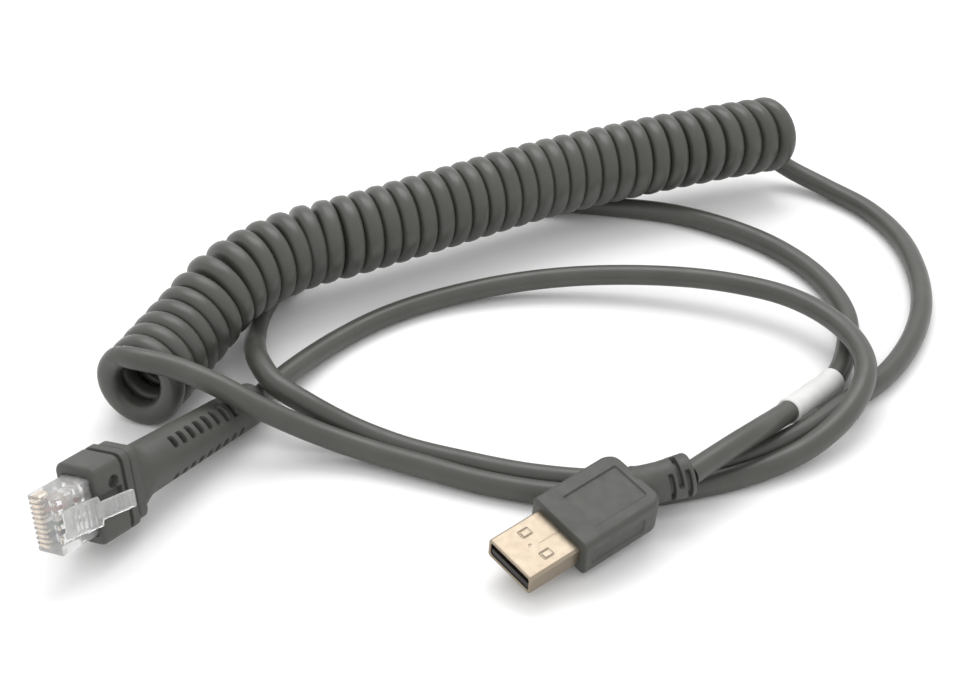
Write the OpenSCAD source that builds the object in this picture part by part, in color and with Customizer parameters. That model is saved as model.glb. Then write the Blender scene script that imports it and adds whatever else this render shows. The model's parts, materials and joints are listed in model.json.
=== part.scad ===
// Coiled interface cable of a handheld barcode scanner, lying loose on a flat surface.
// One end is a USB type A plug, the other a 10-position modular plug in a hood with a slotted boot.
// Frame: +Z up, origin at the centre of the bounding box on the resting surface, millimetres.

/* [Cord] */
// Outside diameter of the cord jacket
cord_d = 4.7; // [4.4:0.1:4.9]
// Outside diameter of the retractile coil
coil_od = 18.8; // [17:0.1:19.6]
// Outside diameter of the cord marker sleeve
marker_od = 5.8; // [5.2:0.1:6]

/* [USB plug] */
// Width of the plug shell
usb_shell_w = 12.0; // [11.9:0.05:12.1]
// Height of the plug shell
usb_shell_h = 4.5; // [4.4:0.05:4.6]
// Wall of the folded plug shell
usb_shell_wall = 0.3; // [0.25:0.05:0.35]
// Length of shell that stands out of the overmould
usb_reach = 12.2; // [11.8:0.1:12.6]
// Length of the overmould body without its neck
usb_body_l = 20.0; // [18:0.5:22]
// Width of the overmould body
usb_body_w = 15.6; // [14.5:0.1:16]
// Thickness of the overmould body
usb_body_h = 8.4; // [8:0.1:8.8]
// Largest diameter of the overmould neck
usb_neck_d = 8.6; // [8:0.1:8.8]

/* [Modular plug] */
// Width of the modular plug body
plug_w = 11.68; // [11.5:0.01:11.8]
// Thickness of the modular plug body
plug_t = 6.6; // [6.4:0.05:6.7]
// Length of the modular plug body
plug_l = 21; // [20.5:0.1:21.3]
// Number of contact blades
contact_count = 10; // [8:2:10]
// Spacing of the contact blades
contact_pitch = 1.02; // [1:0.01:1.05]
// Angle of the free latch lever to the plug body
latch_rest_angle = 16; // [14:1:18]
// Length of the latch lever
latch_l = 14.5; // [12:0.5:14.5]

/* [Hood and boot] */
// Width of the hood
hood_w = 16; // [15:0.5:17]
// Thickness of the hood
hood_t = 10.4; // [9.8:0.1:11]
// Number of slots on each side of the boot
boot_slots = 9; // [5:1:10]

/* [Hidden] */

$fn = 32;
eps = 0.01;
jacket = [0.34, 0.35, 0.33];
moulding = [0.42, 0.43, 0.40];
gold = [0.80, 0.65, 0.35];
nickel = [0.80, 0.76, 0.70];
clear = [0.86, 0.88, 0.88];

// The layout is drawn about the point below; this moves it to the centre of the bounding box.
layout_shift = [-10.7, 0.8, 0];

// USB plug: tip centre, and roll, pitch and heading of its axis
usb_tip = [5.7, -78.4, 5.8];
usb_turn = [9.5, -4, 39.2];
// The neck leaves the back of the body bent upwards and towards the front right.
usb_neck_turn = [0, -5, -22];
usb_neck_l = 11;
usb_body_end = usb_reach + usb_body_l;
usb_shell_l = 19;
usb_inside_w = usb_shell_w - 2 * usb_shell_wall;
usb_inside_h = usb_shell_h - 2 * usb_shell_wall;
usb_tongue_w = usb_inside_w - 0.4;
usb_tongue_h = 1.84;
usb_contact_w = 1;
usb_contact_t = 0.25;
usb_contact_z = usb_tongue_h - usb_contact_t - usb_inside_h / 2;
usb_contact_end = 20;
usb_inner_l = 5;
usb_cord_start = 27.5;
usb_collar_d = cord_d + 1.2;

// Modular plug: nose centre, and roll, pitch and heading of its axis
plug_nose = [-79.9, -75.2, 13];
plug_turn = [-12.8, 8, 56.5];
hood_start = 9.2;
hood_end = 18.8;
flange_end = 21.3;
boot_start = 24.5;
boot_end = 60;
boot_base_d = 10.8;
boot_tip_d = 8.8;
latch_root = [1.8, -plug_t / 2 - 0.55];
latch_t = 0.9;
latch_wide = 6;
latch_narrow = 3.6;
plug_cavity_x = 8;
plug_cavity = [5, 10.2];
plug_cord_start = 15.5;
blade_y = 1.3;
function contact_z(k) = ((contact_count - 1) / 2 - k) * contact_pitch;
function boot_radius(x) =
    (boot_base_d + (boot_tip_d - boot_base_d) * (x - boot_start) / (boot_end - boot_start)) / 2;

// Wire offsets across the cord, and contact offsets across the USB tongue
wire_d = 0.9;
wire_gap = 0.2;
usb_contact_y = [3.5, 1, -1, -3.5];
usb_wire_rise = [0.9, -0.6, -0.6, 0.9];
plug_wire_y = 0.7;
plug_wire_z = [contact_z(2), contact_z(4), contact_z(5), contact_z(7)];
plug_wire_ends = [[0, 1.5], [0.55, 0.5], [-0.55, -0.5], [0, -1.5]];

// From the coil to the boot: up over the boot, along the front, round the right and back.
scanner_route = [
    [-71, -25.6, 16.6], [-62, -29.5, 16.4], [-53, -33, 14.5], [-44, -36, 10.8],
    [-34, -37.8, 6.6], [-22.8, -40.6, 3.8], [-11, -45, 3], [2, -49.9, 2.5], [16, -53.2, 2.4],
    [30, -53.8, 2.4], [43, -50.9, 2.4], [55, -46.4, 2.5], [67.3, -39.6, 3.8], [76.6, -30.2, 5.8],
    [81.7, -19.5, 7.4], [81.8, -9.3, 7.7], [77.6, 1, 7.7], [69.2, 10.3, 7.5], [57, 16.7, 7],
    [43, 20.7, 6.2], [24, 22.6, 5], [7, 21.3, 3.7], [-10, 16.3, 2.5], [-21.4, 9.4, 2.4],
    [-31.4, -0.2, 2.5], [-39.6, -12, 3.5], [-47.1, -25.7, 4.6]];

// From the coil to the USB plug: round the right, along the front, up over the boot's cord,
// back under the coil, round the rear, under the coil again and down the right to the plug.
usb_route = [
    [73.1, 76.3, 8.9], [78, 73.2, 5], [87, 66.9, 2.8], [95.6, 57, 2.4], [101, 43.8, 2.4],
    [102.4, 29, 2.4], [100.8, 14.6, 2.4], [96.1, 1, 2.4], [88, -12.4, 2.4], [77.4, -23.2, 2.4],
    [67, -33, 2.4], [54, -41.3, 2.4], [40, -46.6, 2.4], [25, -48.8, 2.4],
    [10.5, -47, 2.4], [-3, -42.9, 2.4], [-15, -38.2, 2.4], [-26, -33.9, 4.3],
    [-35.5, -30.6, 8.1], [-42, -26.4, 10], [-45.8, -19, 9.9], [-47.8, -10.5, 7.2],
    [-49, -0.5, 3.7], [-49, 10, 2.4], [-46, 21.5, 2.4], [-38.5, 33.5, 2.4], [-28, 46.8, 2.4],
    [-14, 55.6, 2.4], [3, 59.9, 2.4], [19, 60.2, 2.4], [34, 58, 2.4], [48, 54.7, 2.4],
    [60.6, 47.9, 2.4], [71.2, 38.5, 2.4], [79.2, 25.8, 2.4], [82.8, 11, 2.4], [81.2, -2, 2.4],
    [76.4, -14.6, 2.9], [70.6, -21.3, 3.4], [64.6, -29, 5], [56.2, -40.2, 8.3],
    [50.4, -46.2, 9], [41.1, -55, 9]];
marker_first = 37;
marker_last = 39;

// Axis of the coil, from the end at the front left to the end at the rear right
coil_axis = [
    [-69.6, -24.9, 9.5], [-61.4, -6.6, 11.2], [-55, 4.4, 13.8], [-48.1, 12.3, 14.5],
    [-40.2, 19.2, 14.5], [-29.9, 24.6, 14.5], [-8.9, 36.6, 14.5], [14.1, 49.9, 14.5],
    [34.5, 58.9, 14.7], [56.2, 67, 15], [73.8, 72.8, 15]];

module in_layout() translate(layout_shift) children();
module at_usb() in_layout() translate(usb_tip) rotate(usb_turn) children();
module at_neck() at_usb() translate([usb_body_end, 0, 0]) rotate(usb_neck_turn) children();
module at_plug() in_layout() translate(plug_nose) rotate(plug_turn) children();

// Draws a flat shape in Y and Z and pushes it along +X.
module along_x(length) rotate([90, 0, 90]) linear_extrude(length) children();

module rounded_rect(w, h, r) {
    square([w - 2 * r, h], center = true);
    square([w, h - 2 * r], center = true);
    for (x = [-1, 1], y = [-1, 1])
        translate([x * (w / 2 - r), y * (h / 2 - r)]) circle(r);
}

module cut_rect(w, h, cut) polygon([
    [w / 2, h / 2 - cut], [w / 2 - cut, h / 2], [cut - w / 2, h / 2], [-w / 2, h / 2 - cut],
    [-w / 2, cut - h / 2], [cut - w / 2, -h / 2], [w / 2 - cut, -h / 2], [w / 2, cut - h / 2]]);

module rod(d, from, to) translate([from, 0, 0]) rotate([0, 90, 0]) cylinder(d = d, h = to - from);

module rod_between(a, b, d) {
    span = b - a;
    tilt = acos(span[2] / norm(span));
    translate(a) rotate([0, tilt, atan2(span[1], span[0])]) cylinder(d = d, h = norm(span));
}

// Sweeps a round section of the given diameter through the points of a route.
function unit(v) = v / norm(v);
function heading(route, i) =
    unit(route[min(i + 1, len(route) - 1)] - route[max(i - 1, 0)]);
function ring(centre, ahead, d, sides) =
    let (side = unit(cross(ahead, [0, 0, 1])), up = cross(side, ahead))
    [for (k = [0 : sides - 1])
        centre + d / 2 * (cos(k * 360 / sides) * side + sin(k * 360 / sides) * up)];
module sweep(route, d, sides) {
    count = len(route);
    points = [for (i = [0 : count - 1]) each ring(route[i], heading(route, i), d, sides)];
    walls = [for (i = [0 : count - 2], k = [0 : sides - 1])
        let (next = (k + 1) % sides)
        [i * sides + next, (i + 1) * sides + next, (i + 1) * sides + k, i * sides + k]];
    first_cap = [for (k = [sides - 1 : -1 : 0]) k];
    last_cap = [for (k = [0 : sides - 1]) (count - 1) * sides + k];
    polyhedron(points, concat(walls, [first_cap, last_cap]), convexity = 8);
}

// ---- USB plug, drawn with the tip at the origin and the cord leaving along +X ----

module usb_shell() {
    window = [2.5, 2.0];
    window_x = 6.4;
    window_y = 3.1;
    color(nickel) at_usb() difference() {
        along_x(usb_shell_l) rounded_rect(usb_shell_w, usb_shell_h, 0.5);
        translate([-eps, 0, 0]) along_x(usb_shell_l + 2 * eps)
            square([usb_inside_w, usb_inside_h], center = true);
        for (side = [-1, 1])
            translate([window_x - window[0] / 2, side * window_y - window[1] / 2, -usb_shell_h])
                cube([window[0], window[1], 2 * usb_shell_h]);
    }
}

// The tongue lies on the floor of the shell and fills the shell behind the socket space.
module usb_tongue() {
    color([0.13, 0.13, 0.13]) at_usb() translate([0, 0, -usb_inside_h / 2]) difference() {
        union() {
            translate([0.4, -usb_tongue_w / 2, 0]) cube([18, usb_tongue_w, usb_tongue_h]);
            translate([11.8, -usb_tongue_w / 2, 0]) cube([6.6, usb_tongue_w, usb_inside_h]);
        }
        for (y = usb_contact_y)
            translate([0.9, y - usb_contact_w / 2, usb_tongue_h - usb_contact_t])
                cube([usb_shell_l, usb_contact_w, usb_contact_t]);
    }
}

module usb_blade(index) {
    start = abs(usb_contact_y[index]) > 2 ? 1.2 : 2.2;
    translate([start, usb_contact_y[index] - usb_contact_w / 2, usb_contact_z])
        cube([usb_contact_end - start, usb_contact_w, usb_contact_t]);
}
module usb_contact_power() color(gold) at_usb() usb_blade(0);
module usb_contact_data_minus() color(gold) at_usb() usb_blade(1);
module usb_contact_data_plus() color(gold) at_usb() usb_blade(2);
module usb_contact_ground() color(gold) at_usb() usb_blade(3);

// A wire runs from the end of its contact to the end of the cord.
module usb_wire(index) rod_between(
    [usb_contact_end, usb_contact_y[index], usb_contact_z + wire_d / 2],
    [usb_cord_start - wire_gap, usb_contact_y[index] * 0.4, usb_wire_rise[index]], wire_d);
module usb_wire_power() color([0.7, 0.1, 0.1]) at_usb() usb_wire(0);
module usb_wire_data_minus() color([0.9, 0.9, 0.88]) at_usb() usb_wire(1);
module usb_wire_data_plus() color([0.1, 0.5, 0.2]) at_usb() usb_wire(2);
module usb_wire_ground() color([0.08, 0.08, 0.08]) at_usb() usb_wire(3);

// First moulding, over the contact tails and the wire ends
module usb_inner_block() translate([usb_shell_l, 0, 0])
    along_x(usb_inner_l) rounded_rect(11, 4.4, 0.8);
module usb_inner_mould() color([0.85, 0.83, 0.76]) at_usb() difference() {
    usb_inner_block();
    for (index = [0 : 3]) {
        usb_wire(index);
        usb_blade(index);
    }
}

// Metal collar crimped on the jacket
module usb_crimp_collar() color(nickel) at_usb() difference() {
    rod(usb_collar_d, usb_cord_start + 0.6, usb_body_end - 0.6);
    rod(cord_d, usb_cord_start, usb_body_end);
}

module usb_cord_core() {
    lap = 0.5;
    at_usb() rod(cord_d, usb_cord_start, usb_body_end + lap);
    at_neck() rod(cord_d, -lap, usb_neck_l);
}
module usb_cord_end() color(jacket) usb_cord_core();

// Body with cut rear shoulders, and a neck with three staggered relief grooves
module usb_overmould() {
    shoulder = 3;
    edge = 1.2;
    groove_w = 0.9;
    groove_pitch = 1.7;
    groove_x = 5.8;
    color(moulding) difference() {
        union() {
            at_usb() intersection() {
                translate([usb_reach, 0, 0]) along_x(usb_body_l)
                    cut_rect(usb_body_w, usb_body_h, edge);
                translate([usb_reach, 0, -usb_body_h]) linear_extrude(2 * usb_body_h) polygon([
                    [0, -usb_body_w / 2], [usb_body_l - shoulder, -usb_body_w / 2],
                    [usb_body_l, shoulder - usb_body_w / 2],
                    [usb_body_l, usb_body_w / 2 - shoulder],
                    [usb_body_l - shoulder, usb_body_w / 2], [0, usb_body_w / 2]]);
            }
            at_neck() difference() {
                rod(usb_neck_d, -1, usb_neck_l);
                for (k = [0 : 2]) translate([groove_x + k * groove_pitch, 0, 0]) difference() {
                    rod(usb_neck_d + 1, 0, groove_w);
                    rod(usb_neck_d - 2.2, -eps, groove_w + eps);
                    translate([-eps, k % 2 == 0 ? 0 : -usb_neck_d, -usb_neck_d])
                        cube([groove_w + 2 * eps, usb_neck_d, usb_neck_d]);
                }
            }
        }
        at_usb() along_x(usb_shell_l) rounded_rect(usb_shell_w, usb_shell_h, 0.5);
        at_usb() usb_inner_block();
        at_usb() rod(usb_collar_d, usb_shell_l + usb_inner_l - eps, usb_body_end - 0.6);
        usb_cord_core();
    }
}

// ---- Cord ----

module usb_tail() color(jacket) in_layout() sweep(usb_route, cord_d, 12);
module scanner_tail() color(jacket) in_layout() sweep(scanner_route, cord_d, 12);
// Closed outer shape of the retractile coil
module coil() color(jacket) in_layout() sweep(coil_axis, coil_od, 20);

module cord_marker() color([0.93, 0.93, 0.91]) in_layout() difference() {
    sweep([for (i = [marker_first : marker_last]) usb_route[i]], marker_od, 16);
    sweep(usb_route, cord_d, 12);
}

// ---- Modular plug, drawn with its nose at the origin, the cord leaving along +X,
// the latch on the -Y side and the width along Z ----

module plug_outline() along_x(plug_l)
    square([plug_t, plug_w], center = true);

module plug_body() color(clear, 0.5) at_plug() difference() {
    plug_outline();
    translate([plug_cavity_x, -plug_cavity[0] / 2, -plug_cavity[1] / 2])
        cube([plug_l, plug_cavity[0], plug_cavity[1]]);
    for (k = [0 : contact_count - 1])
        translate([0.9, blade_y, contact_z(k) - 0.2]) cube([2.7, plug_t, 0.4]);
    for (k = [0 : 3]) plug_wire(k, wire_d + 0.1);
    plug_drain(0.7);
    clamp_block();
}

module plug_contacts() color(gold) at_plug()
    for (k = [0 : contact_count - 1])
        translate([1, blade_y, contact_z(k) - 0.17]) cube([2.5, plug_t / 2 - blade_y - 0.2, 0.34]);

// A wire runs straight from its contact, through the comb, to the end of the cord.
module plug_wire(k, d) rod_between(
    [1.6, plug_wire_y, plug_wire_z[k]], concat([plug_cord_start - wire_gap], plug_wire_ends[k]), d);
module plug_drain(d) rod_between(
    [1.6, plug_wire_y, contact_z(0)], [plug_cord_start - wire_gap, -1.3, 0.8], d);
module plug_wire_power() color([0.7, 0.1, 0.1]) at_plug() plug_wire(0, wire_d);
module plug_wire_data_minus() color([0.9, 0.9, 0.88]) at_plug() plug_wire(1, wire_d);
module plug_wire_data_plus() color([0.1, 0.5, 0.2]) at_plug() plug_wire(2, wire_d);
module plug_wire_ground() color([0.08, 0.08, 0.08]) at_plug() plug_wire(3, wire_d);
module plug_drain_wire() color([0.75, 0.7, 0.65]) at_plug() plug_drain(0.6);

// Comb that keeps the wires in line with their contacts
module plug_wire_comb() color(clear) at_plug() difference() {
    translate([plug_cavity_x, -0.9, 0.1 - plug_cavity[1] / 2])
        cube([1.6, 2.4, plug_cavity[1] - 0.2]);
    for (k = [0 : 3]) plug_wire(k, wire_d + 0.1);
    plug_drain(0.7);
}

// Bar that presses on the jacket through a window in the plug body
module clamp_block() translate([16.5, -plug_t / 2, -2.4])
    cube([2.4, plug_t / 2 - cord_d / 2, 4.8]);
module plug_clamp_bar() color(clear) at_plug() clamp_block();

// Lever with two shoulders, on a thin root beside the nose
module plug_latch() color(clear, 0.6) at_plug()
    translate([latch_root[0], latch_root[1], 0]) rotate([0, 0, -latch_rest_angle]) {
        translate([0, 0, -latch_wide / 2]) cylinder(d = latch_t, h = latch_wide);
        translate([0, -latch_t / 2, -latch_wide / 2]) cube([latch_l / 2, latch_t, latch_wide]);
        translate([0, -latch_t / 2, -latch_narrow / 2]) cube([latch_l, latch_t, latch_narrow]);
    }

module hood() color(moulding) at_plug() difference() {
    rim = 1.8;
    groove = 0.8;
    union() {
        translate([hood_start, 0, 0]) along_x(hood_end - hood_start - rim - groove)
            rounded_rect(hood_t, hood_w, 1.4);
        translate([hood_start, 0, 0]) along_x(hood_end - hood_start)
            rounded_rect(hood_t - 1.2, hood_w - 1.2, 1);
        translate([hood_end - rim, 0, 0]) along_x(rim) cut_rect(hood_t, hood_w, 1.6);
    }
    plug_outline();
    translate([hood_start - eps, -hood_t / 2 - eps, -2.3]) cube([6.2, 1, 4.6]);
    translate([hood_start + 4.6, -hood_t / 2 - eps, 3.7]) rotate([-90, 0, 0])
        cylinder(d = 2.3, h = 1);
}

// Flange, then a tapered boot with four rows of slots, set off by half a pitch from row to row
module strain_boot() {
    slot = [1.2, 3.6];
    slot_depth = 1.3;
    slot_pitch = 2.55;
    slot_start = 31;
    color(moulding) at_plug() difference() {
        union() {
            translate([hood_end, 0, 0]) along_x(flange_end - hood_end)
                cut_rect(hood_t - 0.4, hood_w - 0.6, 2.2);
            hull() {
                translate([flange_end - 1, 0, 0]) along_x(1)
                    rounded_rect(hood_t - 1.2, hood_w - 3, 3);
                rod(boot_base_d, boot_start - 0.5, boot_start);
            }
            translate([boot_start, 0, 0]) rotate([0, 90, 0])
                cylinder(d1 = boot_base_d, d2 = boot_tip_d, h = boot_end - boot_start);
        }
        plug_outline();
        rod(cord_d, hood_end, boot_end + eps);
        for (row = [0 : 3], k = [0 : boot_slots - 1]) {
            x = slot_start + (k + (row % 2) / 2) * slot_pitch;
            rotate([45 + 90 * row, 0, 0])
                translate([x - slot[0] / 2, -slot[1] / 2, boot_radius(x) - slot_depth])
                    cube([slot[0], slot[1], 2 * slot_depth]);
        }
    }
}
module scanner_cord_end() color(jacket) at_plug() rod(cord_d, plug_cord_start, boot_end);

usb_shell();
usb_tongue();
usb_contact_power();
usb_contact_data_minus();
usb_contact_data_plus();
usb_contact_ground();
usb_inner_mould();
usb_crimp_collar();
usb_overmould();
usb_wire_power();
usb_wire_data_minus();
usb_wire_data_plus();
usb_wire_ground();
usb_cord_end();
usb_tail();
cord_marker();
coil();
scanner_tail();
scanner_cord_end();
strain_boot();
hood();
plug_body();
plug_latch();
plug_contacts();
plug_wire_comb();
plug_clamp_bar();
plug_wire_power();
plug_wire_data_minus();
plug_wire_data_plus();
plug_wire_ground();
plug_drain_wire();
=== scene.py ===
"""Looks of the coiled interface cable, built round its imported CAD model, in metres in its frame."""

import json
import math

import bmesh
import bpy
import numpy as np
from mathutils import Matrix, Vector


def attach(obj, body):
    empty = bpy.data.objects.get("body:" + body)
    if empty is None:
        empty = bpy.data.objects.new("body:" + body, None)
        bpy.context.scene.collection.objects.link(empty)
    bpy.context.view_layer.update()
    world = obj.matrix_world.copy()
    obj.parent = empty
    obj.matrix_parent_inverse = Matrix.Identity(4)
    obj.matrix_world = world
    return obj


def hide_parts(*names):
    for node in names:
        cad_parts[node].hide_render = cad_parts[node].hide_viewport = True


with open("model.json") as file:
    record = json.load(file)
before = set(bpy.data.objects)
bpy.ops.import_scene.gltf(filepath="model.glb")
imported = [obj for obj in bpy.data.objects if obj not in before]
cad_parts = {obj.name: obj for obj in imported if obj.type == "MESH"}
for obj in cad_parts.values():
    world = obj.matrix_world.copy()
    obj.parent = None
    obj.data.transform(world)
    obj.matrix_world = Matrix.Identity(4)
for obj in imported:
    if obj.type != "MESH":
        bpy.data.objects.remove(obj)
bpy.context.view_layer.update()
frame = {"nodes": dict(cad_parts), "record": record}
record = frame["record"]
MM = 0.001

# ---- Camera ----

# The point on the floor that the camera looks at, which the routes are drawn about
LAYOUT_SHIFT = np.array([-10.7, 0.8, 0]) * MM
CAMERA_DISTANCE = 0.412
CAMERA_PITCH = math.radians(35)
CAMERA_LENS = 70
CAMERA_SENSOR = 36


def make_camera():
    data = bpy.data.cameras.new("camera")
    data.lens = CAMERA_LENS
    data.sensor_width = CAMERA_SENSOR
    data.clip_start = 0.01
    camera = bpy.data.objects.new("camera", data)
    bpy.context.collection.objects.link(camera)
    camera.location = (
        LAYOUT_SHIFT[0],
        LAYOUT_SHIFT[1] - CAMERA_DISTANCE * math.cos(CAMERA_PITCH),
        CAMERA_DISTANCE * math.sin(CAMERA_PITCH),
    )
    camera.rotation_euler = (math.pi / 2 - CAMERA_PITCH, 0, 0)
    bpy.context.scene.camera = camera


make_camera()

# ---- Cord ----

COIL_OD = 18.8 * MM
WHOLE_TURNS = 39
# Angle past the top at which the wire leaves the far end of the coil, round the back
LAST_ANGLE = math.radians(150)
# How far the last turns lean over at the far end of the coil, and over how much of its axis
FAR_LEAN = math.radians(25)
FAR_SPAN = 45 * MM
# How far the first turn is drawn out at its top and its foot, and over how much of the axis
NEAR_TOP = 1.8 * MM
NEAR_FOOT = 4.1 * MM
NEAR_SPAN = 15 * MM
# How far its end is lifted, and over how much of the axis
NEAR_LIFT = 0.7 * MM
NEAR_LIFT_SPAN = 5 * MM
AXIS_STEP = 0.2 * MM
# How many axis points on each side the axis's bend is averaged over
BEND_REACH = 40
# The cord is slightly oval, more so in the coil, where its long side stands outward
TAIL_OVAL = (4.9 * MM, 4.6 * MM)
COIL_OVAL = (4.95 * MM, 4.6 * MM)
COIL_SQUARENESS = 0.2
# The length over which the tails' section becomes the coil's
OVAL_SPAN = 10 * MM
CORD_SIDES = 24
# Measured along the finished line
RING_STEP = 1.25 * MM
# How many rings on each side of the coil's ends the section takes to turn
TURN_RINGS = 8
CURVE_STEPS = 24


def laid(points_mm):
    """Points in millimetres about the point the camera looks at, as metres in the frame."""
    return np.array(points_mm, float) * MM + LAYOUT_SHIFT


# From the coil to the boot, as in the CAD model
SCANNER_ROUTE = laid([
    [-71, -25.6, 16.6], [-62, -29.5, 16.4], [-53, -33, 14.5], [-44, -36, 10.8],
    [-34, -37.8, 6.6], [-22.8, -40.6, 3.8], [-11, -45, 3], [2, -49.9, 2.5], [16, -53.2, 2.4],
    [30, -53.8, 2.4], [43, -50.9, 2.4], [55, -46.4, 2.5], [67.3, -39.6, 3.8], [76.6, -30.2, 5.8],
    [81.7, -19.5, 7.4], [81.8, -9.3, 7.7], [77.6, 1, 7.7], [69.2, 10.3, 7.5], [57, 16.7, 7],
    [43, 20.7, 6.2], [24, 22.6, 5], [7, 21.3, 3.7], [-10, 16.3, 2.5], [-21.4, 9.4, 2.4],
    [-31.4, -0.2, 2.5], [-39.6, -12, 3.5], [-47.1, -25.7, 4.6]])
# From the coil to the USB plug; the marker sleeve covers the cord between two of its points
USB_ROUTE = laid([
    [73.1, 76.3, 8.9], [78, 73.2, 5], [87, 66.9, 2.8], [95.6, 57, 2.4], [101, 43.8, 2.4],
    [102.4, 29, 2.4], [100.8, 14.6, 2.4], [96.1, 1, 2.4], [88, -12.4, 2.4], [77.4, -23.2, 2.4],
    [67, -33, 2.4], [54, -41.3, 2.4], [40, -46.6, 2.4], [25, -48.8, 2.4],
    [10.5, -47, 2.4], [-3, -42.9, 2.4], [-15, -38.2, 2.4], [-26, -33.9, 4.3],
    [-35.5, -30.6, 8.1], [-42, -26.4, 10], [-45.8, -19, 9.9], [-47.8, -10.5, 7.2],
    [-49, -0.5, 3.7], [-49, 10, 2.4], [-46, 21.5, 2.4], [-38.5, 33.5, 2.4], [-28, 46.8, 2.4],
    [-14, 55.6, 2.4], [3, 59.9, 2.4], [19, 60.2, 2.4], [34, 58, 2.4], [48, 54.7, 2.4],
    [60.6, 47.9, 2.4], [71.2, 38.5, 2.4], [79.2, 25.8, 2.4], [82.8, 11, 2.4], [81.2, -2, 2.4],
    [76.4, -14.6, 2.9], [70.6, -21.3, 3.4], [64.6, -29, 5], [56.2, -40.2, 8.3],
    [50.4, -46.2, 9], [41.1, -55, 9]])
SLEEVE_ENDS = (37, 39)
COIL_AXIS = laid([
    [-69.6, -24.9, 9.5], [-61.4, -6.6, 11.2], [-55, 4.4, 13.8], [-48.1, 12.3, 14.5],
    [-40.2, 19.2, 14.5], [-29.9, 24.6, 14.5], [-8.9, 36.6, 14.5], [14.1, 49.9, 14.5],
    [34.5, 58.9, 14.7], [56.2, 67, 15], [73.8, 72.8, 15]])


def arc_lengths(points):
    return np.concatenate([[0], np.cumsum(np.linalg.norm(np.diff(points, axis=0), axis=1))])


def resample(points, step):
    """The same line with points at an even spacing."""
    along = arc_lengths(points)
    count = int(round(along[-1] / step)) + 1
    even = np.linspace(0, along[-1], count)
    return np.stack([np.interp(even, along, points[:, k]) for k in range(3)], axis=1)


def smooth_line(points, step):
    """A centripetal Catmull-Rom curve through the points."""
    padded = np.vstack([2 * points[0] - points[1], points, 2 * points[-1] - points[-2]])
    pieces = []
    for i in range(1, len(padded) - 2):
        p0, p1, p2, p3 = padded[i - 1 : i + 3]
        gaps = [max(np.linalg.norm(b - a), 1e-9) ** 0.5
                for a, b in ((p0, p1), (p1, p2), (p2, p3))]
        t0, t1, t2, t3 = np.cumsum([0] + gaps)
        t = np.linspace(t1, t2, CURVE_STEPS, endpoint=False)[:, None]
        a1 = (t1 - t) / (t1 - t0) * p0 + (t - t0) / (t1 - t0) * p1
        a2 = (t2 - t) / (t2 - t1) * p1 + (t - t1) / (t2 - t1) * p2
        a3 = (t3 - t) / (t3 - t2) * p2 + (t - t2) / (t3 - t2) * p3
        b1 = (t2 - t) / (t2 - t0) * a1 + (t - t0) / (t2 - t0) * a2
        b2 = (t3 - t) / (t3 - t1) * a2 + (t - t1) / (t3 - t1) * a3
        pieces.append((t2 - t) / (t2 - t1) * b1 + (t - t1) / (t2 - t1) * b2)
    return resample(np.vstack(pieces + [points[-1:]]), step)


def unit(v):
    return v / np.linalg.norm(v, axis=-1, keepdims=True)


def tangents(points):
    return unit(np.gradient(points, axis=0))


def ease(share):
    """0 below 0, 1 above 1, and a smooth rise between."""
    share = np.clip(share, 0, 1)
    return share * share * (3 - 2 * share)


def coil_helix():
    """The left-handed helix of the coil, with each point's outward direction.

    Its turns are spread where the axis bends, and are slightly uneven along it.
    """
    axis = smooth_line(COIL_AXIS, AXIS_STEP)
    ahead = tangents(axis)
    along = arc_lengths(axis)
    bend = np.linalg.norm(np.gradient(ahead, along, axis=0), axis=1)
    window = 2 * BEND_REACH + 1
    bend = np.convolve(
        np.pad(bend, BEND_REACH, mode="edge"), np.ones(window) / window, mode="valid")
    radius = (COIL_OD - COIL_OVAL[0]) / 2
    uneven = 1 + 0.02 * np.sin(along / (11 * MM)) + 0.015 * np.sin(along / (4.1 * MM) + 1)
    near = ease(1 - along / NEAR_SPAN)
    stretch = (NEAR_TOP + NEAR_FOOT) / 2 * np.abs(np.gradient(near, along))
    rate = (1 - radius * bend) / uneven * (1 + stretch)
    turns = np.concatenate([[0], np.cumsum((rate[1:] + rate[:-1]) / 2 * np.diff(along))])
    angle = turns / turns[-1] * (WHOLE_TURNS * 2 * math.pi + LAST_ANGLE)
    left = unit(np.cross([0, 0, 1], ahead))
    top = np.cross(ahead, left)
    far_lean = FAR_LEAN * ease(1 - (along[-1] - along) / FAR_SPAN)[:, None]
    left = left * np.cos(far_lean) - ahead * np.sin(far_lean)
    out = np.cos(angle)[:, None] * top + np.sin(angle)[:, None] * left
    opened = near * (NEAR_TOP + (NEAR_FOOT - NEAR_TOP) * (1 - np.cos(angle)) / 2)
    lifted = NEAR_LIFT * ease(1 - along / NEAR_LIFT_SPAN) * (1 + np.cos(angle)) / 2
    return axis + radius * out - ahead * opened[:, None] + [0, 0, 1] * lifted[:, None], out


def cord_line():
    """The whole cord as one line from the boot to the USB neck, then the helix within it."""
    helix, out = coil_helix()
    controls = np.vstack([SCANNER_ROUTE[:0:-1], helix, USB_ROUTE[1:]])
    return smooth_line(controls, RING_STEP), helix, out


def ring_faces(rings, sides, start=0):
    """Faces that join each ring of points to the next, and close both ends."""
    faces = []
    for i in range(rings - 1):
        for k in range(sides):
            a, b = start + i * sides, start + (i + 1) * sides
            n = (k + 1) % sides
            faces.append((a + k, a + n, b + n, b + k))
    faces.append(tuple(range(start + sides - 1, start - 1, -1)))
    faces.append(tuple(range(start + (rings - 1) * sides, start + rings * sides)))
    return faces


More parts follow.
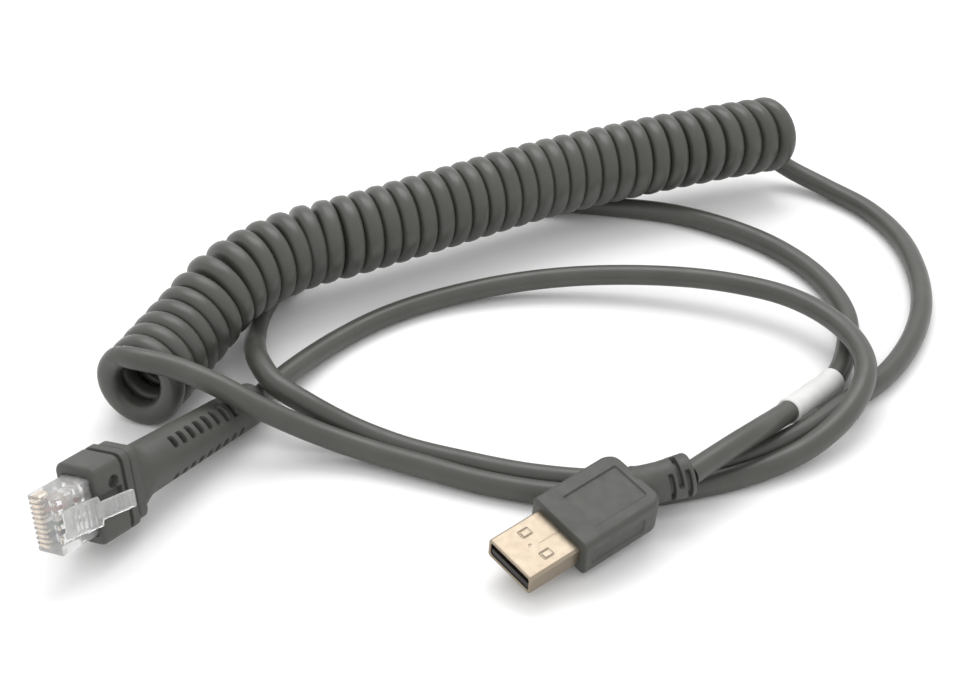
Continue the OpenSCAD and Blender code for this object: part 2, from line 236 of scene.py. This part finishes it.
def tube_mesh(name, line, widths, heights, side_dirs, sides, fullness=1.0):
    """An oval tube round a line, which does not go below the floor.

    side_dirs says which way each ring's width lies. A fullness under 1 squares the section off.
    """
    ahead = tangents(line)
    side = unit(side_dirs - (side_dirs * ahead).sum(axis=1, keepdims=True) * ahead)
    up = np.cross(ahead, side)
    turn = np.arange(sides) * 2 * math.pi / sides
    power = np.reshape(fullness, (-1, 1))
    across = np.sign(np.cos(turn)) * np.abs(np.cos(turn)) ** power
    over = np.sign(np.sin(turn)) * np.abs(np.sin(turn)) ** power
    rings = (line[:, None]
             + (widths / 2)[:, None, None] * across[..., None] * side[:, None]
             + (heights / 2)[:, None, None] * over[..., None] * up[:, None])
    verts = rings.reshape(-1, 3)
    verts[:, 2] = np.maximum(verts[:, 2], 0)
    return make_object(name, verts, ring_faces(len(line), sides))


def make_object(name, verts, faces, crease=40):
    """A smooth mesh object, with sharp edges where faces turn by more than the crease angle."""
    mesh = bpy.data.meshes.new(name)
    mesh.from_pydata([tuple(v) for v in verts], [], faces)
    shape = bmesh.new()
    shape.from_mesh(mesh)
    for face in shape.faces:
        face.smooth = True
    for edge in shape.edges:
        closed = len(edge.link_faces) == 2
        edge.smooth = closed and edge.calc_face_angle() < math.radians(crease)
    shape.to_mesh(mesh)
    shape.free()
    obj = bpy.data.objects.new(name, mesh)
    bpy.context.collection.objects.link(obj)
    return obj


def nearest(line, point):
    return np.argmin(np.linalg.norm(line - point, axis=1))


def make_cord():
    """The cord's object, and the line it follows."""
    line, helix, out = cord_line()
    ahead = tangents(line)
    flat_side = unit(np.cross(ahead, [0, 0, 1]))
    flat_up = np.cross(flat_side, ahead)
    along = arc_lengths(line)
    # The tails' oval section turns slowly; in the coil it stands with its long side outward.
    roll = 0.5 * np.sin(along / 0.11) + 0.3 * np.sin(along / 0.047 + 2)
    side = np.cos(roll)[:, None] * flat_side + np.sin(roll)[:, None] * flat_up
    first, last = nearest(line, helix[0]), nearest(line, helix[-1])
    helix_along = arc_lengths(helix)
    share = (along[first : last + 1] - along[first]) / (along[last] - along[first])
    for k in range(3):
        side[first : last + 1, k] = np.interp(share, helix_along / helix_along[-1], out[:, k])
    # The section turns smoothly from the tails' lie to the coil's.
    for i in range(first - 1, -1, -1):
        side[i] *= 1 if side[i] @ side[i + 1] >= 0 else -1
    for i in range(last + 1, len(side)):
        side[i] *= 1 if side[i] @ side[i - 1] >= 0 else -1
    for end in (first, last):
        before, after = end - TURN_RINGS - 1, end + TURN_RINGS + 1
        for i in range(before + 1, after):
            turned = float(ease((i - end + TURN_RINGS) / (2 * TURN_RINGS)))
            side[i] = unit(side[before] * (1 - turned) + side[after] * turned)
    in_coil = ease(np.minimum(along - along[first], along[last] - along) / OVAL_SPAN)
    widths = TAIL_OVAL[0] + (COIL_OVAL[0] - TAIL_OVAL[0]) * in_coil
    heights = TAIL_OVAL[1] + (COIL_OVAL[1] - TAIL_OVAL[1]) * in_coil
    fullness = 1 - COIL_SQUARENESS * in_coil
    return tube_mesh("cord", line, widths, heights, side, CORD_SIDES, fullness), line


# ---- Materials ----


def new_material(name):
    material = bpy.data.materials.new(name)
    material.use_nodes = True
    tree = material.node_tree
    return material, tree, tree.nodes["Principled BSDF"]


def noise(tree, scale, detail=3.0, rough=0.5):
    """Noise fixed to the piece, in cells per metre."""
    place = tree.nodes.new("ShaderNodeTexCoord")
    texture = tree.nodes.new("ShaderNodeTexNoise")
    texture.inputs["Scale"].default_value = scale
    texture.inputs["Detail"].default_value = detail
    texture.inputs["Roughness"].default_value = rough
    tree.links.new(place.outputs["Object"], texture.inputs["Vector"])
    return texture.outputs["Fac"]


def spread(tree, value, low, high):
    """The value's middle range stretched between low and high."""
    node = tree.nodes.new("ShaderNodeMapRange")
    node.inputs["From Min"].default_value = 0.3
    node.inputs["From Max"].default_value = 0.7
    node.inputs["To Min"].default_value = low
    node.inputs["To Max"].default_value = high
    tree.links.new(value, node.inputs["Value"])
    return node.outputs["Result"]


def colour_between(tree, value, dark, light):
    node = tree.nodes.new("ShaderNodeMix")
    node.data_type = "RGBA"
    node.inputs["A"].default_value = (*dark, 1)
    node.inputs["B"].default_value = (*light, 1)
    tree.links.new(value, node.inputs["Factor"])
    return node.outputs["Result"]


def bump(tree, shader, value, strength, height):
    node = tree.nodes.new("ShaderNodeBump")
    node.inputs["Strength"].default_value = strength
    node.inputs["Distance"].default_value = height
    tree.links.new(value, node.inputs["Height"])
    tree.links.new(node.outputs["Normal"], shader.inputs["Normal"])


def varied(name, dark, light, rough, patch, grain, grain_height, strength=0.5, metal=0.0):
    """A finish with soft patches of colour and roughness and a fine grain."""
    material, tree, shader = new_material(name)
    patches = spread(tree, noise(tree, patch), 0, 1)
    tree.links.new(colour_between(tree, patches, dark, light), shader.inputs["Base Color"])
    tree.links.new(spread(tree, noise(tree, patch * 3), *rough), shader.inputs["Roughness"])
    bump(tree, shader, noise(tree, grain, 4.0, 0.6), strength, grain_height)
    shader.inputs["Metallic"].default_value = metal
    return material


def clear_plastic():
    """Polycarbonate, clear but slightly milky where it is scuffed."""
    material, tree, shader = new_material("clear_look")
    cloud = spread(tree, noise(tree, 420), 0, 1)
    tree.links.new(
        colour_between(tree, cloud, (0.90, 0.905, 0.90), (0.985, 0.985, 0.98)),
        shader.inputs["Base Color"])
    tree.links.new(spread(tree, noise(tree, 500), 0.05, 0.11), shader.inputs["Roughness"])
    shader.inputs["Transmission Weight"].default_value = 0.76
    shader.inputs["IOR"].default_value = 1.42
    bump(tree, shader, noise(tree, 420), 0.15, 0.03 * MM)
    return material


def wire_look(colour, dark, light):
    name = f"wire_{colour}_look"
    return varied(name, dark, light, (0.35, 0.45), 300, 2500, 0.02 * MM)


# By slot: dark and light colour, roughness, patches and grain per metre, depth of the grain,
# then the strength of the bump and the metal
LOOKS = {
    "jacket": varied(
        "jacket_look", (0.053, 0.0545, 0.047), (0.068, 0.07, 0.061), (0.32, 0.42),
        90, 2600, 0.03 * MM),
    "moulding": varied(
        "moulding_look", (0.052, 0.054, 0.047), (0.063, 0.0655, 0.057), (0.46, 0.58),
        120, 3800, 0.04 * MM, 0.7),
    "nickel": varied(
        "nickel_look", (0.315, 0.262, 0.20), (0.34, 0.288, 0.225), (0.35, 0.42),
        260, 1500, 0.01 * MM, 0.3, 1.0),
    "gold": varied(
        "gold_look", (0.76, 0.60, 0.44), (0.88, 0.73, 0.57), (0.25, 0.38),
        300, 1500, 0.01 * MM, 0.3, 1.0),
    "clear": clear_plastic(),
    "tongue_black": varied(
        "tongue_look", (0.012, 0.010, 0.008), (0.022, 0.018, 0.014), (0.42, 0.55),
        300, 3000, 0.02 * MM),
    "natural_pe": varied(
        "polythene_look", (0.62, 0.60, 0.52), (0.72, 0.70, 0.62), (0.4, 0.5),
        300, 2500, 0.02 * MM),
    "marker_white": varied(
        "marker_look", (0.60, 0.60, 0.585), (0.71, 0.71, 0.695), (0.38, 0.52),
        200, 1100, 0.06 * MM),
    "wire_red": wire_look("red", (0.38, 0.19, 0.17), (0.48, 0.27, 0.24)),
    "wire_white": wire_look("white", (0.70, 0.66, 0.62), (0.80, 0.76, 0.72)),
    "wire_green": wire_look("green", (0.13, 0.18, 0.12), (0.18, 0.24, 0.17)),
    "wire_black": wire_look("black", (0.015, 0.015, 0.014), (0.03, 0.03, 0.028)),
    "tinned": varied(
        "tinned_look", (0.50, 0.46, 0.42), (0.66, 0.62, 0.58), (0.28, 0.42),
        400, 2000, 0.02 * MM, 0.4, 1.0),
}


def finish_piece(obj, body, slot, *nodes):
    """Rides the piece on its body in place of the CAD nodes, with the finish of the slot."""
    obj.data.materials.clear()
    obj.data.materials.append(LOOKS[slot])
    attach(obj, body)
    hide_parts(*nodes)
    return obj


# The CAD's own materials are named by slot.
for cad_node in frame["nodes"].values():
    for index, cad_material in enumerate(cad_node.data.materials):
        cad_node.data.materials[index] = LOOKS[cad_material.name.split(".")[0]]

# ---- Shapes lofted along X, in millimetres ----


def rounded_outline(width, height, radius, count):
    """A rounded rectangle across Y and Z, with its points spaced evenly round each quarter."""
    radius = max(min(radius, width / 2, height / 2), 0.01)
    flat_y, flat_z = width / 2 - radius, height / 2 - radius
    arc = radius * math.pi / 2
    along = (np.arange(count // 4) + 0.5) / (count // 4) * (flat_y + flat_z + arc)
    turn = np.clip((along - flat_z) / arc, 0, 1) * math.pi / 2
    y = flat_y + radius * np.cos(turn) - np.clip(along - flat_z - arc, 0, None)
    z = np.clip(along, 0, flat_z) + radius * np.sin(turn)
    quarter = np.column_stack([y, z])
    return np.vstack([quarter, quarter[::-1] * [-1, 1], -quarter, quarter[::-1] * [1, -1]])


def loft_rings(stations, count):
    """Rings of points for stations of (x, width along Y, height along Z, corner radius)."""
    return np.array([
        np.column_stack([np.full(count, x), rounded_outline(width, height, radius, count)])
        for x, width, height, radius in stations])


def loft_object(name, *parts, crease=40):
    """One object from lofts, each given as its rings in mm and its placing."""
    verts, faces = [], []
    for rings, placing in parts:
        faces += ring_faces(rings.shape[0], rings.shape[1], len(verts))
        verts += [tuple(p) for p in placed(rings.reshape(-1, 3), placing)]
    return make_object(name, verts, faces, crease)


def placed(points_mm, placing):
    origin, axes = placing
    return origin + np.asarray(points_mm) * MM @ axes


def soft_box(u, v, half_u, half_v, corner, slope):
    """1 inside a rounded rectangle about zero and 0 outside it, with a narrow slope between."""
    du, dv = np.abs(u) - half_u + corner, np.abs(v) - half_v + corner
    outside = np.hypot(np.clip(du, 0, None), np.clip(dv, 0, None))
    distance = outside + np.minimum(np.maximum(du, dv), 0) - corner
    return np.clip(0.5 - distance / slope, 0, 1)


def edge_inset(distance, radius):
    """How far a rounded edge lies inside its flat face at a distance from the edge's end."""
    d = np.clip(distance, 0, radius)
    return radius - np.sqrt(radius**2 - (radius - d) ** 2)


def turn_apart(angle, centre):
    """The angle from the centre, between minus and plus half a turn."""
    return (angle - centre + math.pi) % (2 * math.pi) - math.pi


def steps(start, end, step):
    return np.linspace(start, end, max(int(round((end - start) / step)), 1) + 1)


MOUNTS = {m["name"]: m for m in record["mounts"]}


def usb_placing():
    """Where the USB plug lies: tip centre, and the axes of its length, width and height."""
    tip = np.array(MOUNTS["usb_plug"]["pos_m"])
    x = -unit(np.array(MOUNTS["usb_plug"]["axis"]))
    across = np.array(MOUNTS["usb_stop_face"]["pos_m"]) - tip
    y = unit(across - (across @ x) * x)
    return tip, np.array([x, y, np.cross(x, y)])


def neck_placing():
    """The neck leaves the back of the body, bent upwards and to the right."""
    tip, axes = usb_placing()
    pitch, heading = math.radians(5), math.radians(-22)
    level = math.cos(pitch)
    x = np.array([level * math.cos(heading), level * math.sin(heading), math.sin(pitch)])
    y = np.array([-math.sin(heading), math.cos(heading), 0])
    return tip + BODY_END * MM * axes[0], np.array([x, y, np.cross(x, y)]) @ axes


def plug_placing():
    """Where the modular plug lies: nose centre, and the axes of its length, thickness and width."""
    nose = np.array(MOUNTS["modular_plug"]["pos_m"])
    joint = record["behaviour"]["joints"][0]
    x = -unit(np.array(MOUNTS["modular_plug"]["axis"]))
    z = unit(np.array(joint["axis"]))
    return nose, np.array([x, np.cross(z, x), z])


# ---- USB plug: tip at zero, cord towards +X, top face +Z ----

BODY_START = 12.2
BODY_END = 32.2
BODY_W, BODY_H = 15.6, 8.4
PANEL_DEPTH, SCOOP_DEPTH = 0.35, 0.4
NECK_SLOTS, NECK_SLOT_START, NECK_SLOT_PITCH, NECK_SLOT_DEPTH = 3, 6.25, 1.7, 1.1
SHELL_W, SHELL_H = 12, 4.5
WINDOW_X, WINDOW_Y, WINDOW_DEPTH, SPRING_RISE = 6.4, 3.1, 0.16, 0.14


def make_usb_body():
    """The overmould with its sunk panels and side scoops, and the neck behind it."""
    xs = np.unique(np.concatenate([
        steps(BODY_START, BODY_START + 0.6, 0.1), steps(BODY_START + 0.6, BODY_END - 3, 0.2),
        steps(BODY_END - 3, BODY_END, 0.12)]))
    front = edge_inset(xs - BODY_START, 0.4)
    widths = BODY_W - 2 * front - 2 * edge_inset(BODY_END - xs, 3)
    heights = BODY_H - 2 * front - 2 * edge_inset(BODY_END - xs, 0.9)
    body = loft_rings(zip(xs, widths, heights, np.full(len(xs), 1.2)), 192)
    x, y, z = body[..., 0], body[..., 1].copy(), body[..., 2].copy()
    panel = soft_box(x - 23.35, y + 0.2, 6.65, 4.5, 0.35, 0.22)
    body[..., 2] -= PANEL_DEPTH * panel * (z > BODY_H / 2 - 1)
    body[..., 2] += PANEL_DEPTH * panel * (z < 1 - BODY_H / 2)
    scoop = soft_box(x - 20.5, z + 0.3, 6.8, 1.9, 0.8, 0.3)
    body[..., 1] -= SCOOP_DEPTH * scoop * np.sign(y) * (np.abs(y) > BODY_W / 2 - 1)

    # The neck swells to a rim. Its three pairs of relief slots reach half round it, the middle
    # pair from other sides than the rest.
    xs = np.concatenate([steps(-1.5, 11, 0.1), [11, 10.5]])
    radii = np.interp(
        xs, [-1.5, 0, 1, 2, 5, 9, 10.2, 10.7, 11],
        [4.2, 4.45, 4.2, 4.1, 4.0, 4.3, 4.4, 4.3, 4.05])
    radii[-2:] = 3.2, 2.6
    neck = loft_rings(zip(xs, 2 * radii, 2 * radii, radii), 144)
    angle = np.arctan2(neck[..., 2], neck[..., 1])
    radius = np.hypot(neck[..., 1], neck[..., 2])
    cut = np.zeros_like(radius)
    for k in range(NECK_SLOTS):
        for half_turn in (0, math.pi):
            apart = turn_apart(angle, math.radians(108 if k == 1 else 168) + half_turn)
            x_apart = neck[..., 0] - NECK_SLOT_START - NECK_SLOT_PITCH * k
            cut = np.maximum(cut, soft_box(x_apart, apart * 4.1, 0.42, 3.8, 0.4, 0.16))
    cut[-2:] = 0
    neck[..., 1:] *= (1 - NECK_SLOT_DEPTH * cut / radius)[..., None]
    obj = loft_object("usb_overmould_body", (body, usb_placing()), (neck, neck_placing()))
    return finish_piece(obj, "cable", "moulding", "usb_overmould")


def make_usb_shell():
    """The folded shell, from its inside at the back round the lip to its outside at the back."""
    inner = steps(0.5, 11.8, 0.4)[::-1]
    outer = steps(0.5, 14, 0.11)
    lip_x = [0.25, 0.08, 0, 0.05, 0.2]
    lip_in = [0.58, 0.5, 0.3, 0.12, 0.03]
    stations = [(x, 11.4, 3.9, 0.35) for x in inner]
    stations += [(x, SHELL_W - 2 * i, SHELL_H - 2 * i, 0.6) for x, i in zip(lip_x, lip_in)]
    stations += [(x, SHELL_W, SHELL_H, 0.6) for x in outer]
    shell = loft_rings(stations, 256)
    outside = shell[-len(outer):]
    x, y, z = outside[..., 0], outside[..., 1].copy(), outside[..., 2].copy()
    window = soft_box(x - WINDOW_X, np.abs(y) - WINDOW_Y, 1.15, 0.9, 0.2, 0.16)
    spring = soft_box(x - 6.55, np.abs(y) - WINDOW_Y, 0.95, 0.7, 0.25, 0.3)
    depth = WINDOW_DEPTH * window - SPRING_RISE * spring * window
    # The sheet's joint runs from between the windows to the back, on the top face.
    joint = 0.07 * soft_box(x - 10.4, y + 0.5, 3.6, 0.07, 0.05, 0.1) * (z > 0)
    dimple = 0.1 * soft_box(x - 5.2, y - 0.2, 0.3, 0.3, 0.3, 0.4) * (z > 0)
    flat = np.abs(z) > 2.2
    outside[..., 2] -= np.sign(z) * (depth + joint + dimple) * flat
    obj = loft_object("usb_plug_shell", (shell, usb_placing()))
    return finish_piece(obj, "cable", "nickel", "usb_shell")


# ---- Modular plug: nose at zero, cord towards +X, latch on the -Y side, width along Z ----

HOOD_START, HOOD_GROOVE, HOOD_RIM, HOOD_END = 9.2, 16.2, 17.0, 18.8
HOOD_T, HOOD_W = 10.4, 16
LEVER_BED_DEPTH, HOOD_HOLE_DEPTH = 1.0, 1.3
FLANGE_END, BOOT_START, BOOT_END = 21.3, 25.5, 60
BOOT_SLOT_ROWS, BOOT_SLOTS, BOOT_SLOT_START, BOOT_SLOT_PITCH, BOOT_SLOT_DEPTH = 4, 9, 31, 2.55, 1.3
LEVER_ROOT = (1.8, -3.85)
LEVER_ANGLE = math.radians(-16)
LEVER_HALF_T, LEVER_WELL_DEPTH, LEVER_RIB_PITCH = 0.45, 0.45, 1.15
CONTACTS, CONTACT_PITCH = 10, 1.02
PLUG_T, PLUG_W, PLUG_L = 6.6, 11.68, 21


def make_hood():
    """The hood, from inside its mouth to its back, with a groove before the rim."""
    xs = steps(HOOD_START + 0.7, HOOD_GROOVE - 0.15, 0.15)
    stations = [
        (12.5, 6.9, 12.0, 0.5), (HOOD_START + 0.2, 6.9, 12.0, 0.5),
        (HOOD_START, 7.3, 12.4, 0.7)]
    stations += [(HOOD_START + d, HOOD_T - 2 * i, HOOD_W - 2 * i, 1.9)
                 for d, i in zip((0, 0.08, 0.25, 0.45), (0.7, 0.38, 0.16, 0.05))]
    stations += [(x, HOOD_T, HOOD_W, 1.9) for x in xs]
    stations += [
        (HOOD_GROOVE, 10.1, 15.7, 1.9), (HOOD_GROOVE + 0.08, 9.2, 14.8, 1.7),
        (HOOD_RIM - 0.08, 9.2, 14.8, 1.7), (HOOD_RIM, 10.1, 15.7, 1.9),
        (HOOD_RIM + 0.12, HOOD_T, HOOD_W, 2)]
    stations += [(x, HOOD_T, HOOD_W, 2) for x in steps(HOOD_RIM + 0.3, HOOD_END - 0.15, 0.3)]
    stations += [(HOOD_END, 10.0, 15.6, 2), (HOOD_END + 0.02, 8, 13, 2)]
    hood = loft_rings(stations, 216)
    x, y, z = hood[..., 0], hood[..., 1].copy(), hood[..., 2]
    lever_bed = soft_box(x - 9, z, 6.4, 2.3, 0.4, 0.25)
    hole = soft_box(x - 13.8, z - 3.7, 1.15, 1.15, 1.15, 0.25)
    depth = np.maximum(LEVER_BED_DEPTH * lever_bed, HOOD_HOLE_DEPTH * hole)
    hood[..., 1] += depth * (y < -4.2)
    obj = loft_object("hood_block", (hood, plug_placing()))
    return finish_piece(obj, "cable", "moulding", "hood")


def make_boot():
    """The flange and the tapered boot behind it, with its relief slots in rows on the diagonals."""
    stations = [
        (HOOD_END - 0.4, 9.0, 14.0, 2), (HOOD_END + 0.25, 9.0, 14.0, 2),
        (HOOD_END + 0.3, 9.7, 15.0, 2.4)]
    stations += [(x, 10.0, 15.4, 2.6) for x in steps(HOOD_END + 0.5, FLANGE_END - 0.25, 0.3)]
    stations += [(FLANGE_END, 9.7, 15.0, 2.6), (FLANGE_END + 0.1, 9.5, 13.4, 3)]
    for x in steps(FLANGE_END + 0.4, BOOT_START, 0.3):
        share = float(ease((x - FLANGE_END) / (BOOT_START - FLANGE_END))) ** 0.6
        stations.append((x, 9.5 + 1.3 * share, 13.4 - 2.6 * share, 3 + 2.4 * share))
    for x in steps(BOOT_START + 0.2, BOOT_END - 0.5, 0.15):
        width = 10.8 - 2 * (x - BOOT_START) / (BOOT_END - BOOT_START)
        stations.append((x, width, width, width / 2))
    stations += [
        (BOOT_END - 0.2, 8.7, 8.7, 4.4), (BOOT_END, 8.3, 8.3, 4.2),
        (BOOT_END, 5.8, 5.8, 2.9), (BOOT_END - 0.6, 5.2, 5.2, 2.6)]
    boot = loft_rings(stations, 176)
    angle = np.arctan2(boot[..., 2], boot[..., 1])
    radius = np.hypot(boot[..., 1], boot[..., 2])
    cut = np.zeros_like(radius)
    for row in range(BOOT_SLOT_ROWS):
        round_it = turn_apart(angle, math.radians(45 + 90 * row)) * radius
        for k in range(BOOT_SLOTS):
            x_apart = boot[..., 0] - (BOOT_SLOT_START + (k + (row % 2) / 2) * BOOT_SLOT_PITCH)
            cut = np.maximum(cut, soft_box(x_apart, round_it, 0.55, 1.3 + 0.09 * k, 0.5, 0.3))
    cut[-4:] = 0
    boot[..., 1:] *= (1 - BOOT_SLOT_DEPTH * cut / radius)[..., None]
    obj = loft_object("strain_boot_body", (boot, plug_placing()))
    return finish_piece(obj, "cable", "moulding", "strain_boot")


def make_lever():
    """The latch lever, a plate with raised edges and cross ribs, narrow at the finger end."""
    xs = np.concatenate([steps(-0.4, 7.1, 0.12), steps(7.4, 14.5, 0.1)])
    half_w = np.interp(xs, [7.1, 7.4], [3.0, 1.8])
    end = edge_inset(xs + 0.45, 0.45) + edge_inset(14.55 - xs, 0.5) * 0.6
    thickness = 2 * (LEVER_HALF_T - end * 0.6)
    lever = loft_rings(zip(xs, thickness, 2 * (half_w - end), np.full(len(xs), 0.2)), 128)
    x, z = lever[..., 0], lever[..., 2]
    outer_face = lever[..., 1] < -0.2
    well = soft_box(x - 10.9, z, 3.1, 1.35, 0.2, 0.15) + soft_box(x - 4, z, 2.8, 2.4, 0.3, 0.15)
    rib = 0.5 + 0.5 * np.cos(2 * math.pi * x / LEVER_RIB_PITCH)
    lever[..., 1] += LEVER_WELL_DEPTH * np.clip(well, 0, 1) * (1 - 0.7 * rib**3) * outer_face
    along = np.array([math.cos(LEVER_ANGLE), math.sin(LEVER_ANGLE), 0])
    across = np.array([-math.sin(LEVER_ANGLE), math.cos(LEVER_ANGLE), 0])
    plug = plug_placing()
    placing = (placed([*LEVER_ROOT, 0], plug), np.array([along, across, [0, 0, 1]]) @ plug[1])
    obj = loft_object("latch_lever", (lever, placing), crease=30)
    return finish_piece(obj, "latch", "clear", "plug_latch")


def make_blades():
    """Ten contact blades, each a plate with a rounded front corner."""
    parts = []
    xs = steps(0.5, 3.1, 0.2)
    low = np.interp(xs, [0.5, 1.0, 2.5, 3.1], [1.0, 0.4, 0.4, 1.4])
    high = 3.05 - edge_inset(xs - 0.5, 0.5)
    plate = loft_rings(zip(xs, high - low, np.full(len(xs), 0.72), np.full(len(xs), 0.1)), 16)
    plate[..., 1] += ((high + low) / 2)[:, None]
    for k in range(CONTACTS):
        blade = plate.copy()
        blade[..., 2] += ((CONTACTS - 1) / 2 - k) * CONTACT_PITCH
        parts.append((blade, plug_placing()))
    obj = loft_object("contact_blades", *parts)
    return finish_piece(obj, "cable", "gold", "plug_contacts")


def make_plug_body():
    """The clear body: ribs between the contacts, a hollow behind them and the cord's room."""
    xs = np.concatenate([
        steps(0, 0.5, 0.1), steps(0.6, 4.6, 0.2), steps(5.2, 20.6, 0.7), [20.9, PLUG_L]])
    inset = edge_inset(xs, 0.35) + edge_inset(PLUG_L - xs, 0.3)
    stations = zip(xs, PLUG_T - 2 * inset, PLUG_W - 2 * inset, np.full(len(xs), 0.4))
    body = loft_rings(stations, 288)
    x, y, z = body[..., 0], body[..., 1].copy(), body[..., 2]
    comb = np.clip(
        0.5 + 1.6 * np.cos(2 * math.pi * (z - CONTACT_PITCH / 2) / CONTACT_PITCH), 0, 1)
    comb *= soft_box(x, z, 4, 5.1, 0.1, 0.3) * (y > PLUG_T / 2 - 0.4)
    body[..., 1] -= 0.5 * comb
    hollow = loft_rings([(5.4, 2.2, 9.6, 0.3), (3.9, 2.9, 9.6, 0.3)], 16)
    hollow[..., 1] -= 1.2
    cord_room = loft_rings([(20.8, 5, 10.2, 0.3), (8, 5, 10.2, 0.3)], 16)
    parts = [(rings, plug_placing()) for rings in (body, hollow, cord_room)]
    obj = loft_object("clear_plug_body", *parts)
    return finish_piece(obj, "cable", "clear", "plug_body")


# ---- Marker sleeve ----

SLEEVE_SLACK = 0.35 * MM
SLEEVE_END = 0.5 * MM


def make_marker(line):
    """A blank wrapped sleeve on the cord, a little slack, with soft rolled ends."""
    first, last = sorted(nearest(line, USB_ROUTE[i]) for i in SLEEVE_ENDS)
    span = smooth_line(line[first : last + 1 : 3], 0.25 * MM)
    along = arc_lengths(span)
    to_end = np.minimum(along, along[-1] - along)
    roll = SLEEVE_SLACK * np.sqrt(np.clip(1 - (to_end / SLEEVE_END - 1) ** 2, 0, 1))
    flat = SLEEVE_SLACK * (0.8 + 0.2 * np.exp(-to_end / MM))
    roll = np.where(to_end > SLEEVE_END, flat, roll)
    wave = 0.05 * MM * np.sin(along / (1.3 * MM)) * np.sin(along / (3.1 * MM) + 1)
    width = np.full(len(span), 5.05 * MM) + 2 * roll + wave
    side = unit(np.cross(tangents(span), [0, 0, 1]))
    sleeve = tube_mesh("marker_sleeve", span, width, width * 0.97, side, 40)
    return finish_piece(sleeve, "cable", "marker_white", "cord_marker")


# ---- Pieces ----

cord, cord_path = make_cord()
finish_piece(cord, "cable", "jacket", "scanner_tail", "coil", "usb_tail")
usb_pieces = [make_usb_body(), make_usb_shell(), make_marker(cord_path)]
usb_pieces += [
    frame["nodes"][name] for name in ("usb_tongue", "usb_crimp_collar", "usb_inner_mould")]
make_hood()
make_boot()
make_lever()
make_blades()
make_plug_body()

# ---- Floor and light ----

FLOOR_SIZE = 6
FLOOR_GREY = 0.93
KEY_PLACE = (0.0, 0.5, 0.9)
KEY_SIZE = (0.85, 0.6)
KEY_WATTS = 4.9
WORLD_STRENGTH = 1.06


def make_floor():
    bpy.ops.mesh.primitive_plane_add(size=FLOOR_SIZE, location=(0, 0, 0))
    floor = bpy.context.object
    floor.name = "floor"
    material, _, shader = new_material("floor")
    shader.inputs["Base Color"].default_value = (FLOOR_GREY, FLOOR_GREY, FLOOR_GREY, 1)
    shader.inputs["Roughness"].default_value = 0.9
    floor.data.materials.append(material)


def make_light():
    """A broad soft light from above and behind, and an even white world."""
    data = bpy.data.lights.new("key", "AREA")
    data.shape = "RECTANGLE"
    data.size, data.size_y = KEY_SIZE
    data.energy = KEY_WATTS
    light = bpy.data.objects.new("key", data)
    bpy.context.collection.objects.link(light)
    light.location = KEY_PLACE
    to_middle = Vector((0, 0, 0)) - Vector(KEY_PLACE)
    light.rotation_euler = to_middle.to_track_quat("-Z", "Y").to_euler()
    world = bpy.data.worlds.new("world")
    bpy.context.scene.world = world
    world.use_nodes = True
    background = world.node_tree.nodes["Background"]
    background.inputs["Color"].default_value = (1, 1, 1, 1)
    background.inputs["Strength"].default_value = WORLD_STRENGTH
    bpy.context.scene.view_settings.view_transform = "Standard"


make_floor()
make_light()
